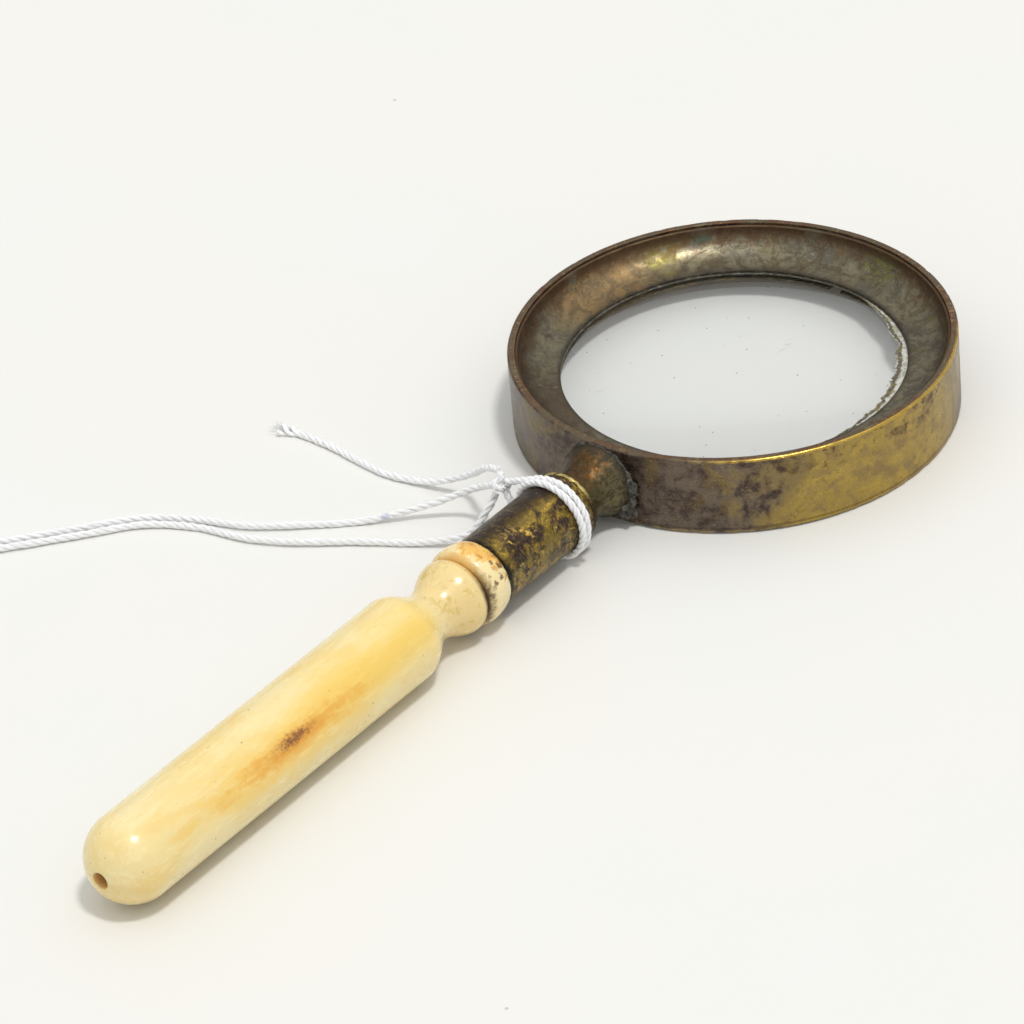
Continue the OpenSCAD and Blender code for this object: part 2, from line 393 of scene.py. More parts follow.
    def about_handle(self):
        """Radius from the handle's axis and angle from +Z towards -Y, in radians."""
        radius = self.math("SQRT", self.y * self.y + self.z * self.z)
        return radius, self.math("ARCTAN2", self.y * -1, self.z)

    def output(self, shader):
        out = self.add("ShaderNodeOutputMaterial")
        self.tree.links.new(shader.outputs[0], out.inputs["Surface"])
        return self.material

    def surface(self, **inputs):
        """Ends the tree in a Principled shader of the material's colour, and returns the material."""
        shader = self.add("ShaderNodeBsdfPrincipled")
        self.feed(shader.inputs["Base Color"], self.colour)
        for key, value in inputs.items():
            self.feed(shader.inputs[key.replace("_", " ")], value)
        return self.output(shader)


def scratches(n, at, sparse=0.62):
    """Thin marks: the crests of noise that is stretched along one way of at."""
    marks = n.noise(1.0, 2, 0.4, at=at, warp=0.6)
    return n.ramp(abs(marks - sparse), 0.012, 0.0)


def band_brass():
    """Brass that is mauve-brown on one side and worn olive-gold on the other."""
    n = Nodes("band_brass")
    radius, around = n.about_lens()
    large = n.noise(0.11, 6, 0.6, warp=0.7)
    middle = n.noise(0.42, 8, 0.62, warp=0.3)
    fine = n.noise(4.0, 7, 0.78)
    facing = ((n.x - REACH) * -0.17 + n.y * -0.985) * (1 / RIM_R)
    gold = n.ramp(facing + (large - 0.5) * 0.6 + (middle - 0.5) * 0.5, 0.68, 0.93)
    dull = n.mix(n.ramp(middle, 0.38, 0.6), (70, 57, 54), (112, 100, 88))
    dull = n.mix(n.ramp(large, 0.5, 0.6) * 0.7, dull, (120, 102, 66))
    dull = n.mix(n.ramp(n.noise(0.9, 8, 0.8, warp=0.3), 0.57, 0.68) * 0.5, dull, (60, 48, 46))
    warm = n.mix(n.ramp(middle, 0.36, 0.64), (176, 150, 76), (146, 124, 80))
    n.colour = n.mix(gold, dull, warm)
    blotch = n.ramp(n.noise(0.5, 8, 0.76, warp=0.4), 0.53, 0.59) * n.ramp(n.z + large * 5, 3.0, 6.0)
    n.paint(blotch * gold * 0.85, (78, 56, 40))
    pits = n.ramp(n.cells(1.1), 0.18, 0.06) * n.ramp(large, 0.42, 0.55)
    n.paint(pits * 0.7, (52, 40, 34))
    lip = n.ramp(n.z, RIM_Z - 0.22, RIM_Z - 0.08) * n.ramp(radius, RIM_R - 0.1, RIM_R - 0.3)
    n.paint(lip, n.mix(n.ramp(middle, 0.42, 0.58), (116, 84, 62), (112, 98, 76)))
    rub = n.ramp(n.z, RIM_Z - 0.42, RIM_Z - 0.2) * n.ramp(radius, RIM_R - 0.42, RIM_R - 0.12)
    rub = rub * n.ramp(facing + middle * 0.6, 0.85, 1.1)
    foot = n.ramp(n.z, -RIM_Z + 0.32, -RIM_Z + 0.14) * n.ramp(middle, 0.45, 0.6)
    n.paint(n.most(rub, foot * 0.7), (208, 172, 80))
    grime = n.between(n.z, -RIM_Z + 0.5, -RIM_Z + 0.75, 0.16)
    n.paint(grime * 0.5, (48, 38, 32))
    lines = scratches(n, n.join(around * 0.5, n.z * 3.2, radius))
    slants = scratches(n, n.join(around * 1.4, (n.z + around) * 2.6, 3.0), 0.58)
    marks = n.most(lines, slants)
    n.paint(marks * 0.4, (206, 184, 132))
    scuff = n.ramp(n.noise(1.6, 8, 0.85), 0.58, 0.64) * n.ramp(large, 0.44, 0.56)
    n.paint(scuff * 0.6, (176, 168, 150))
    spots = n.ramp(n.noise(3.0, 8, 0.85), 0.6, 0.66)
    n.paint(spots * 0.7, (64, 50, 40))
    n.shade(n.ramp(fine, 0.2, 0.8, 0.82, 1.16))
    rough = n.ramp(middle, 0.3, 0.7, 0.26, 0.46) + gold * -0.04 + rub * -0.1
    height = middle * 0.5 + fine * 0.25 + marks * -0.5
    return n.surface(Metallic=0.92, Roughness=rough, Normal=n.bump(height, 0.06, 0.6))


def dish_brass():
    """Brown-grey brass of the dished rings, with verdigris, brown patches and turned lines."""
    n = Nodes("dish_brass")
    radius, around = n.about_lens()
    large = n.noise(0.15, 6, 0.62, warp=0.9)
    middle = n.noise(0.8, 8, 0.72, warp=0.3)
    fine = n.noise(5.0, 8, 0.8)
    n.colour = n.mix(n.ramp(large, 0.4, 0.6), (104, 99, 86), (128, 120, 98))
    n.paint(n.ramp(middle, 0.48, 0.62) * 0.5, (92, 84, 64))
    cloud = n.noise(0.3, 8, 0.68, warp=1.4)
    n.paint(n.ramp(cloud, 0.5, 0.57) * 0.6, (90, 76, 58))
    n.paint(n.ramp(cloud, 0.45, 0.39) * 0.45, (146, 138, 112))
    warm = n.patch((REACH + 5.0, 26.6, 4.2), 13.0, 3.5, 0.22)
    n.paint(warm * n.ramp(cloud, 0.56, 0.44, 0.3, 0.75), (156, 124, 80))
    umber = n.patch((REACH - 22.5, 15.0, 4.0), 13.0, 4.0, 0.25)
    n.paint(umber * 0.65, (92, 74, 56))
    straw = n.patch((REACH + 15.5, 23.0, 4.6), 5.0, 2.6, 0.5)
    n.paint(straw * n.ramp(middle, 0.4, 0.54) * 0.75, (146, 136, 72))
    red = n.ramp(radius + large * 4.5, 30.3, 31.5) * n.ramp(middle, 0.4, 0.5)
    n.paint(red * 0.6, (104, 76, 52))
    olive = n.patch((REACH + 28.4, -5.6, 4.4), 4.4, 2.4, 0.45)
    olive = n.most(olive, n.ramp(n.noise(0.4, 6, 0.7, warp=0.8), 0.6, 0.68) * 0.7)
    n.paint(olive * n.ramp(middle, 0.42, 0.56) * 0.8, (122, 120, 66))
    green = n.patch((REACH + 20.8, 20.4, 5.0), 2.0, 1.4, 0.9)
    green = n.most(green, n.patch((REACH + 2.0, 29.2, 5.1), 1.6, 1.2, 1.0))
    green = n.most(green, n.patch((REACH + 28.9, 6.6, 5.1), 1.7, 1.3, 0.9))
    green = n.most(green, n.ramp(n.noise(1.1, 6, 0.78), 0.66, 0.72) * 0.6)
    n.paint(green * n.ramp(fine, 0.38, 0.52) * 0.9, (66, 104, 88))
    dots = n.ramp(n.cells(1.5), 0.24, 0.1) * n.ramp(n.noise(0.6, 5), 0.5, 0.58)
    dots = n.most(dots, n.ramp(n.noise(1.2, 9, 0.82, warp=0.4), 0.58, 0.63) * 0.9)
    n.paint(dots * 0.75, (62, 52, 38))
    pale = n.ramp(n.noise(1.7, 8, 0.8, warp=0.3), 0.54, 0.6) * n.ramp(large, 0.56, 0.44)
    n.paint(pale * 0.35, (170, 164, 142))
    grime = n.ramp(radius + middle * 1.7, VIEW_R + 1.7, VIEW_R + 0.75)
    n.paint(grime * 0.9, (40, 33, 24))
    # A thin gold line painted on the lower part of the aperture wall: a painted highlight.
    edge = n.ramp(radius, VIEW_R + 0.03, VIEW_R) * n.ramp(n.z, SEAT_Z + 0.34, SEAT_Z + 0.1)
    n.paint(edge * n.ramp(middle, 0.5, 0.6) * 0.6, (132, 120, 74))
    crest = n.ramp(radius, BEZEL_R - 0.85, BEZEL_R - 0.5) * n.ramp(n.z, 0.0, 1.0)
    n.paint(crest * 0.8, (100, 78, 58))
    lines = n.noise(1.0, 3, 0.6, at=n.join(radius * 9, around * 0.12, n.z * 2))
    n.shade(n.ramp(fine, 0.2, 0.8, 0.84, 1.14) * n.ramp(lines, 0.3, 0.7, 0.94, 1.06))
    dull = n.ramp(n.noise(0.38, 7, 0.7, warp=1.0), 0.46, 0.56)
    rough = n.ramp(middle, 0.35, 0.65, 0.3, 0.42) + dull * 0.16 + green * 0.25 + n.most(grime, crest) * 0.2
    height = middle * 0.6 + fine * 0.35 + lines * 0.2 + green * 0.4
    metal = 0.95 - n.most(green, grime) * 0.6
    return n.surface(Metallic=metal, Roughness=rough, Normal=n.bump(height, 0.07, 0.6))


def neck_brass():
    """The boss: dark orange-brown on top and greenish to the side, grey and rough at its root."""
    n = Nodes("neck_brass")
    _, angle = n.about_handle()
    middle = n.noise(0.8, 8, 0.72, warp=0.8)
    fine = n.noise(6.0, 7, 0.75)
    top = n.ramp(angle + (middle - 0.5) * 1.8, 1.0, 0.35)
    n.colour = n.mix(top, (108, 100, 72), (104, 74, 40))
    n.paint(n.ramp(middle, 0.44, 0.56) * 0.8, (66, 54, 36))
    n.paint(n.ramp(n.noise(1.4, 8, 0.85), 0.54, 0.62) * 0.6, (126, 116, 84))
    far = n.ramp(angle + middle * 0.8, 0.15, -0.5)
    n.paint(far * 0.6, (56, 42, 28))
    root = n.ramp(n.x + middle * 2.2, ROOT_X - 1.2, ROOT_X + 0.9)
    n.paint(root * 0.85, (70, 66, 56))
    rings = n.noise(1.0, 3, 0.5, at=n.join(n.x * 7, angle * 0.4, 0.0))
    bright = n.ramp(fine, 0.58, 0.66) * n.ramp(rings, 0.5, 0.6)
    n.paint(bright * 0.7, (206, 190, 140))
    n.shade(n.ramp(fine, 0.2, 0.8, 0.76, 1.22))
    rough = n.ramp(middle, 0.3, 0.7, 0.34, 0.52) + root * 0.2
    height = middle * 0.6 + fine * 0.35 + rings * 0.4
    return n.surface(Metallic=0.9, Roughness=rough, Normal=n.bump(height, 0.09, 0.75))


def ferrule_brass():
    """Heavily mottled olive-gold brass with black and purple blotches and gold flecks."""
    n = Nodes("ferrule_brass")
    _, angle = n.about_handle()
    large = n.noise(0.17, 5, 0.6, warp=0.8)
    middle = n.noise(0.42, 9, 0.74, warp=0.5)
    fine = n.noise(3.6, 8, 0.8)
    olive = n.mix(n.ramp(fine, 0.36, 0.64), (128, 108, 50), (172, 144, 68))
    n.colour = n.mix(n.ramp(middle, 0.46, 0.54), olive, (104, 86, 50))
    dark = n.ramp(middle * 0.7 + fine * 0.24 + large * 0.3, 0.61, 0.65)
    spot = n.patch((79.2, -2.9, 4.1), 3.0, 2.2, 0.6)
    spot = n.most(spot, n.patch((88.4, 0.2, 5.0), 2.2, 1.6, 0.7))
    dark = n.most(dark, spot * n.ramp(fine, 0.3, 0.48))
    n.paint(dark * 0.94, n.mix(n.ramp(fine, 0.45, 0.58), (36, 26, 26), (74, 52, 50)))
    fleck = n.ramp(n.noise(1.1, 8, 0.8, warp=0.8), 0.55, 0.59) * n.ramp(large, 0.36, 0.48)
    n.paint(fleck * 0.9, (226, 186, 84))
    ashen = n.ramp(n.noise(0.9, 8, 0.8), 0.46, 0.6) * n.ramp(angle, 0.8, 1.4)
    n.paint(ashen * 0.65, (136, 128, 96))
    back = n.ramp(angle + middle * 1.1, 1.05, 0.45)
    n.paint(back * 0.8, (52, 40, 38))
    joint = n.ramp(n.x + middle * -1.6, FERRULE_START + 0.1, FERRULE_START - 0.6)
    n.paint(joint * 0.95, (30, 23, 18))
    lines = scratches(n, n.join(n.x * 2.2, angle * 1.6, 1.0), 0.6)
    n.paint(lines * 0.6, (206, 182, 116))
    n.shade(n.ramp(fine, 0.2, 0.8, 0.72, 1.28))
    rough = n.ramp(middle, 0.3, 0.7, 0.22, 0.42) + fleck * -0.08
    height = middle * 0.8 + fine * 0.6 + dark * -0.3 + lines * -0.4
    return n.surface(Metallic=0.95 - dark * 0.3, Roughness=rough, Normal=n.bump(height, 0.16, 1.0))


def worn_seat():
    """The rough ring between ferrule and boss: gold where it is rubbed, with a painted highlight along its
    top; green-black in its pits.
    """
    n = Nodes("worn_seat")
    radius, angle = n.about_handle()
    middle = n.noise(1.2, 7, 0.75, warp=0.8)
    fine = n.noise(6.0, 7, 0.78)
    n.colour = n.mix(n.ramp(fine, 0.4, 0.6), (44, 36, 26), (86, 74, 46))
    # Rubbed gold on the ring's outer edge, kept to its top and back: partly real wear, partly a painted
    # highlight.
    rubbed_gold_and_highlight = n.ramp(radius + middle * 1.4, FERRULE_R + 0.5, FERRULE_R + 0.72)
    n.paint(rubbed_gold_and_highlight * n.ramp(angle + middle * 1.2, 1.9, 1.1) * 0.95, (220, 198, 122))
    n.paint(n.ramp(fine, 0.62, 0.7) * 0.6, (214, 204, 168))
    height = middle * 0.5 + fine * 0.6
    return n.surface(
        Metallic=0.88, Roughness=n.ramp(fine, 0.3, 0.7, 0.3, 0.55), Normal=n.bump(height, 0.14, 0.9),
    )


def bare_brass():
    """Bright brass of the stud and bush, with fine turned lines and dark grime in its hollows."""
    n = Nodes("bare_brass")
    radius, angle = n.about_handle()
    middle = n.noise(1.3, 7, 0.7, warp=0.5)
    fine = n.noise(8.0, 6, 0.7)
    n.colour = n.mix(n.ramp(middle, 0.4, 0.62), (206, 174, 92), (168, 142, 76))
    n.paint(n.ramp(fine, 0.58, 0.7) * 0.5, (112, 92, 50))
    lines = n.noise(1.0, 3, 0.6, at=n.join(n.x * 9, angle * 0.5, radius * 4))
    n.shade(n.ramp(lines, 0.3, 0.7, 0.9, 1.1))
    height = lines * 0.4 + fine * 0.4 + middle * 0.4
    return n.surface(
        Metallic=0.96, Roughness=n.ramp(middle, 0.3, 0.7, 0.26, 0.42), Normal=n.bump(height, 0.05, 0.5),
    )


def grey_solder():
    """Dark, crusty solder."""
    n = Nodes("grey_solder")
    middle = n.noise(1.2, 7, 0.7, warp=0.5)
    fine = n.noise(6.0, 7, 0.75)
    n.colour = n.mix(n.ramp(middle, 0.4, 0.6), (72, 70, 66), (112, 108, 98))
    n.paint(n.ramp(fine, 0.55, 0.7) * 0.7, (52, 44, 36))
    n.paint(n.ramp(n.noise(2.0, 5), 0.62, 0.7) * 0.6, (120, 100, 62))
    height = middle * 0.6 + fine * 0.5
    return n.surface(
        Metallic=0.6, Roughness=n.ramp(fine, 0.3, 0.7, 0.4, 0.7), Normal=n.bump(height, 0.12, 0.8),
    )


def black_pitch():
    """Black pitch, brittle and slightly glossy."""
    n = Nodes("black_pitch")
    fine = n.noise(5.0, 6, 0.7)
    n.colour = n.mix(n.ramp(fine, 0.4, 0.65), (26, 20, 16), (58, 44, 32))
    return n.surface(Roughness=n.ramp(fine, 0.3, 0.7, 0.3, 0.65), Normal=n.bump(fine, 0.08, 0.8))


def polished_bone():
    """Cream bone with honey patches, a brown streak on the grip, stained joints, painted shade on the
    lower front side of the collar's groove, and tiny dark pores.
    """
    n = Nodes("polished_bone")
    radius, angle = n.about_handle()
    around = angle * BUTT_R
    long_way = n.join(n.x * 0.22, n.y, n.z)
    large = n.noise(0.13, 5, 0.55, at=n.join(n.x * 0.6, n.y, n.z), warp=0.8)
    grain = n.noise(0.9, 6, 0.65, at=long_way, warp=0.3)
    middle = n.noise(0.7, 7, 0.72, warp=0.8)
    fine = n.noise(5.0, 5, 0.7, at=long_way)
    n.colour = n.mix(n.ramp(large, 0.36, 0.64), (238, 221, 166), (236, 210, 138))
    n.paint(n.ramp(grain, 0.42, 0.7) * 0.25, (250, 238, 192))
    honey = n.ramp(n.x + grain * 14, 22.0, 58.0) * n.ramp(n.x, SHOULDER_X + 5.5, SHOULDER_X)
    n.paint(honey * n.between(around + large * 4, 4.0, 9.6, 2.6) * 0.8, (238, 204, 96))
    long = (n.x - 32.0) * (1 / 19.0)
    wide = (around + n.x * 0.018 - 6.9) * (1 / 2.7)
    streak = n.math("SQRT", long * long + wide * wide) + (grain - 0.5) * 1.3 + (middle - 0.5) * 1.3
    n.paint(n.ramp(streak, 1.5, 0.3) * 0.75, (240, 200, 92))
    n.paint(n.ramp(streak, 0.85, 0.05) * 0.75, (226, 160, 56))
    core = n.distance(n.join(n.x * 0.25, around, 0.0), (31.4 * 0.25, 5.9, 0.0))
    core = core + (n.noise(1.9, 7, 0.78) - 0.5) * 3.4
    n.paint(n.ramp(core, 1.6, 0.0) * 0.5, (208, 138, 52))
    n.paint(n.ramp(core, 1.0, 0.1) * 0.85, (122, 70, 42))
    neck = n.ramp(n.x, WAIST_X - 3.0, WAIST_X + 1.0)
    n.paint(neck * 0.75, (232, 206, 144))
    straw = neck * n.ramp(middle, 0.5, 0.62) * n.ramp(n.x, COLLAR_START, FLARE_X - 1)
    n.paint(straw * 0.7, (208, 178, 84))
    bead = n.ramp(n.x, COLLAR_START - 0.2, COLLAR_START + 0.1)
    n.paint(bead * 0.65, (248, 230, 180))
    rust = (n.x - COLLAR_START) * 0.2 + abs(angle - 0.12) * -0.85 + middle * 2.6
    rust = bead * n.ramp(rust, 1.1, 1.5)
    n.paint(rust * 0.85, (238, 182, 66))
    n.paint(rust * n.ramp(middle + fine * 0.2, 0.6, 0.72) * 0.75, (188, 116, 36))
    burnt = n.ramp(n.x + middle * 1.8, COLLAR_END + 0.45, COLLAR_END + 1.0)
    n.paint(burnt * bead * 0.9, (74, 44, 22))
    spots = n.ramp(n.cells(0.95, at=n.shifted(0.35, 1.6)), 0.42, 0.28)
    near = n.ramp(n.distance(n.place, (COLLAR_START + 2.6, -4.6, 3.1)), 2.9, 1.2)
    n.paint(spots * near * 0.85, (92, 56, 26))
    # The groove between the flare and the collar: a brown-orange stain, with painted shade that darkens it
    # on its side towards -Y, below its top.
    gap = n.between(n.x, FLARE_END - 0.9, COLLAR_START + 0.95, 0.35)
    deep = gap * n.ramp(radius + (middle - 0.5) * 2.6, 5.9, 5.0)
    n.paint(deep * 0.95, n.mix(n.ramp(angle + middle * 0.8, 0.6, 1.7), (222, 178, 100), (88, 58, 28)))
    pores = n.ramp(n.cells(0.7, at=n.join(n.x * 0.6, n.y, n.z)), 0.1, 0.04) * n.ramp(middle, 0.44, 0.56)
    n.paint(pores * 0.8, n.mix(n.ramp(large, 0.45, 0.55), (128, 92, 44), (138, 132, 60)))
    hole = n.ramp(radius, HOLE_R + 0.28, HOLE_R + 0.02) * n.ramp(n.x, HOLE_DEPTH + 3, HOLE_DEPTH + 2)
    n.paint(hole * 0.75, (216, 176, 112))
    height = grain * 0.4 + middle * 0.12 + fine * 0.05 + pores * -0.6 + deep * fine * 0.6
    return n.surface(
        Roughness=n.ramp(grain, 0.3, 0.7, 0.2, 0.3) + deep * 0.3, Subsurface_Weight=0.5,
        Subsurface_Radius=(1.0, 0.75, 0.45), Subsurface_Scale=0.0024, IOR=1.54, Coat_Weight=0.2,
        Coat_Roughness=0.08, Normal=n.bump(height, 0.05, 0.32),
    )


def lens_glass():
    """Clear glass with faint dust and short scratches; light passes it without a hard shadow."""
    n = Nodes("lens_glass")

    def shader(kind, **inputs):
        made = n.add(kind)
        for key, value in inputs.items():
            n.feed(made.inputs[key], value)
        return made

    def blend(amount, a, b):
        made = n.add("ShaderNodeMixShader")
        for socket, value in zip(made.inputs, (amount, a.outputs[0], b.outputs[0])):
            n.feed(socket, value)
        return made

    glass = shader("ShaderNodeBsdfGlass", IOR=1.52, Roughness=0.0, Color=srgb(251, 252, 252))
    through = shader("ShaderNodeBsdfTransparent", Color=srgb(253, 253, 253))
    rays = n.add("ShaderNodeLightPath").outputs
    clear = blend(n.most(rays["Is Shadow Ray"], rays["Is Diffuse Ray"]), glass, through)
    specks = n.ramp(n.cells(0.38), 0.06, 0.025) * n.ramp(n.noise(0.3, 3), 0.4, 0.48)
    marks = scratches(n, n.join(n.x * 0.16, n.y * 0.5, 2.0), 0.66)
    marks = marks * n.ramp(n.noise(0.35, 3), 0.58, 0.64) * 0.14
    dirt = shader("ShaderNodeBsdfDiffuse", Color=srgb(122, 120, 112))
    return n.output(blend(n.most(specks, marks) * 0.75, clear, dirt))


def old_cement():
    """Pale bedding cement with dark ragged grime, thickest along its inner edge."""
    n = Nodes("old_cement")
    fine = n.noise(2.6, 7, 0.75, warp=0.6)
    middle = n.noise(0.9, 6, 0.7)
    inner = Value(n, n.add("ShaderNodeAttribute", attribute_name="inner").outputs["Fac"])
    n.colour = n.mix(n.ramp(middle, 0.4, 0.6), (204, 204, 196), (166, 164, 150))
    dark = n.ramp(fine + n.between(inner, 0.5, 0.95, 0.2) * 0.26, 0.6, 0.68)
    n.paint(dark * 0.95, (74, 64, 38))
    n.paint(n.ramp(middle, 0.5, 0.6) * n.ramp(fine, 0.4, 0.55) * 0.7, (140, 130, 74))
    outer = n.ramp(inner + fine * 0.3, 0.24, 0.12)
    n.paint(outer * 0.9, (50, 42, 28))
    return n.surface(Roughness=n.ramp(fine, 0.3, 0.7, 0.35, 0.75), Normal=n.bump(fine, 0.12, 0.8))


def white_cotton():
    """White cotton yarn: fine fibres along the lay, with a soft sheen."""
    n = Nodes("white_cotton")
    fine = n.noise(9.0, 5, 0.7)
    soft = n.noise(0.7, 4, 0.6)
    n.colour = n.mix(n.ramp(fine, 0.3, 0.6), (244, 245, 247), (254, 254, 255))
    n.paint(n.ramp(soft, 0.5, 0.7) * 0.35, (240, 240, 238))
    ink = n.ramp(n.distance(n.place, (84.6, 24.4, -5.2)), 0.9, 0.4)
    n.paint(ink * n.ramp(fine, 0.4, 0.55) * 0.6, (112, 122, 190))
    return n.surface(
        Roughness=0.92, Subsurface_Weight=0.5, Subsurface_Radius=(1.0, 1.0, 1.0), Subsurface_Scale=0.0005,
        Sheen_Weight=0.5, Sheen_Roughness=0.5, Normal=n.bump(fine, 0.05, 0.7),
    )


def pale_floor():
    """A smooth white sheet with the faintest mottling and a few specks."""
    n = Nodes("pale_floor")
    soft = n.noise(0.02, 3, 0.5)
    n.colour = n.mix(n.ramp(soft, 0.3, 0.7), (230, 230, 226), (231, 229, 224))
    speck = n.ramp(n.cells(0.045), 0.017, 0.008) * n.ramp(n.noise(0.02, 2), 0.45, 0.5)
    n.paint(speck * 0.5, (150, 148, 142))
    return n.surface(Roughness=0.55, Specular_IOR_Level=0.25)


# ---------------------------------------------------------------- mesh tools


def piece(name, points, faces, body, material, slot, node, sharp=38, tags=None):
    """A mesh in the row frame that rides on body and stands for the CAD node."""
    mesh = bpy.data.meshes.new(name)
    mesh.from_pydata([tuple(c * MM for c in p) for p in points], [], faces)
    if tags is not None:
        mesh.attributes.new("inner", "FLOAT", "POINT").data.foreach_set("value", tags)
    shape = bmesh.new()
    shape.from_mesh(mesh)
    bmesh.ops.recalc_face_normals(shape, faces=shape.faces)
    shape.to_mesh(mesh)
    shape.free()
    mesh.polygons.foreach_set("use_smooth", [True] * len(mesh.polygons))
    mesh.set_sharp_from_angle(angle=math.radians(sharp))
    mesh.materials.append(material)
    obj = add_object(name, mesh)
    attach(obj, body)
    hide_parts(node)
    return obj


def on_handle(radius, angle, x):
    return (x, -radius * math.sin(angle), radius * math.cos(angle))


def on_rim(radius, angle, z):
    return (REACH + radius * math.cos(angle), radius * math.sin(angle), z)


def split_long(profile, longest, closed=True):
    """The profile with each side longer than longest cut into equal parts."""
    out = []
    ends = profile[1:] + profile[:1] if closed else profile[1:]
    for a, b in zip(profile, ends):
        parts = max(1, math.ceil(math.dist(a, b) / longest))
        out += [tuple(p + (q - p) * i / parts for p, q in zip(a, b)) for i in range(parts)]
    return out if closed else out + [profile[-1]]


def skin(rings, closed=False):
    """Faces between rings of point numbers. A ring can be one point repeated: its faces are triangles."""
    faces = []
    for a, b in zip(rings, rings[1:] + rings[:1] if closed else rings[1:]):
        for k in range(len(a)):
            j = (k + 1) % len(a)
            faces.append(tuple(dict.fromkeys((a[k], a[j], b[j], b[k]))))
    return faces


def ring_numbers(count, sides, first=0):
    """Point numbers of rings that follow each other."""
    return [list(range(first + i * sides, first + (i + 1) * sides)) for i in range(count)]


def turn(profile, place, steps, closed=True):
    """Points and faces of a profile of (radius, along) turned about an axis. An open one ends on it."""
    points, rings = [], []
    for radius, along in profile:
        if radius < 1e-6:
            rings.append([len(points)] * steps)
            points.append(place(0, 0, along))
        else:
            rings += ring_numbers(1, steps, len(points))
            points += [place(radius, math.tau * k / steps, along) for k in range(steps)]
    return points, skin(rings, closed)


def weather(obj, depth):
    """Moves each vertex along its normal by depth(point), in millimetres."""
    moves = [(v.index, v.normal * depth(v.co / MM) * MM) for v in obj.data.vertices]
    for index, move in moves:
        obj.data.vertices[index].co += move
    obj.data.update()


def turned(name, profile, longest, place, steps, *kind, depth=None, closed=True, sharp=38):
    """A turned piece whose profile is cut into sides no longer than longest, and worn by depth(point).

    kind is its body, material, slot and CAD node; the slot is not used.
    """
    points, faces = turn(split_long(profile, longest, closed), place, steps, closed)
    obj = piece(name, points, faces, *kind, sharp=sharp)
    if depth:
        weather(obj, depth)
    return obj


def wear(point, scale, octaves=4):
    return noise.fractal(point * scale, 0.8, 2.0, octaves)


def arc(cx, cy, a, b, start, end, steps):
    """Points of an elliptical arc, with its angles in degrees."""
    turns = [math.radians(start + (end - start) * i / steps) for i in range(steps + 1)]
    return [(cx + a * math.cos(t), cy + b * math.sin(t)) for t in turns]


def corner(x, y, radius, start, steps):
    """A quarter round that rounds off the corner (x, y), starting at 0, 90, 180 or 270 degrees."""
    cx = x - radius if start in (0, 270) else x + radius
    cy = y - radius if start in (0, 90) else y + radius
    return arc(cx, cy, radius, radius, start, start + 90, steps)


def ease(a, b, u):
    return a + (b - a) * (1 - math.cos(math.pi * u)) / 2


def step_up(value, start, end):
    u = min(max((value - start) / (end - start), 0), 1)
    return u * u * (3 - 2 * u)


# ---------------------------------------------------------------- rim and lens


def face_height(radius, side):
    """Height of the lens's front (side 1) or back (side -1) face at a radius."""
    bulge = LENS_SAG - LENS_FACE_R + math.sqrt(LENS_FACE_R ** 2 - radius ** 2)
    return LENS_TOP + bulge if side > 0 else LENS_LOW - bulge


def make_band(brass):
    profile = (
        corner(RIM_R, RIM_Z, 0.35, 0, 6)
        + corner(BORE_R, RIM_Z, 0.05, 90, 3)
        + [(BORE_R, -RIM_Z + 0.15)]
        + corner(BORE_R, -RIM_Z, 0.15, 180, 3)
        + corner(RIM_R, -RIM_Z, 0.2, 270, 4)
    )

    def depth(p):
        outer = step_up(math.hypot(p.x - REACH, p.y), RIM_R - 0.5, RIM_R - 0.1)
        top = step_up(abs(p.z), RIM_Z - 0.5, RIM_Z - 0.1)
        nick = max(0, wear(p, 0.8) - 0.25) * 0.14 * top
        dent = max(0, wear(p, 0.16, 2) - 0.2) * 0.08
        return -outer * (nick + dent + 0.012 * abs(wear(p, 0.7)))

    kind = "rim", brass, "brass_band", "rim_band"
    turned("rim_band_brass", profile, 0.4, on_rim, 420, *kind, depth=depth)


def dish_depth(p):
    return -0.03 * max(0, wear(p, 0.5)) - 0.05 * max(0, wear(p, 1.6) - 0.3)


def make_front_bezel(brass):
    edge = BEZEL_R - 0.4
    profile = (
        [(VIEW_R, SEAT_Z), (VIEW_R, SEAT_Z + LIP_T - 0.1)]
        + arc(VIEW_R, BEZEL_TOP, edge - VIEW_R, BEZEL_TOP - SEAT_Z - LIP_T, 272, 357, 34)
        + arc(edge + 0.3, BEZEL_TOP - 0.3, 0.3, 0.3, 175, 90, 6)
        + corner(BEZEL_R, BEZEL_TOP, 0.05, 0, 3)[::-1]
        + [(BEZEL_R, SKIRT_LOW), (RECESS_R, SKIRT_LOW), (RECESS_R, SEAT_Z)]
    )
    kind = "rim", brass, "brass_dark", "front_bezel"
    turned(
        "front_bezel_brass", profile, 0.5, on_rim, 360, *kind,
        depth=lambda p: dish_depth(p) * step_up(p.z, SEAT_Z + 0.2, SEAT_Z + 0.8),
    )


def make_back_bezel(brass):
    edge = BEZEL_R - 0.4
    profile = (
        [(VIEW_R, RING_TOP), (VIEW_R, RING_TOP - LIP_T + 0.1)]
        + arc(VIEW_R, RING_LOW, edge - VIEW_R, RING_TOP - LIP_T - RING_LOW, 88, 3, 34)
        + corner(edge, RING_LOW, 0.12, 180, 3)
        + corner(RING_R, RING_LOW, 0.14, 270, 4)
        + [(RING_R, RING_TOP)]
    )
    kind = "back_ring", brass, "brass_dark", "back_bezel"
    obj = turned(
        "back_bezel_brass", profile, 0.5, on_rim, 360, *kind,
        depth=lambda p: dish_depth(p) * step_up(-p.z, -RING_TOP + 0.7, -RING_TOP + 1.3),
    )
    for side in (-1, 1):
        cut_notch(obj, side)


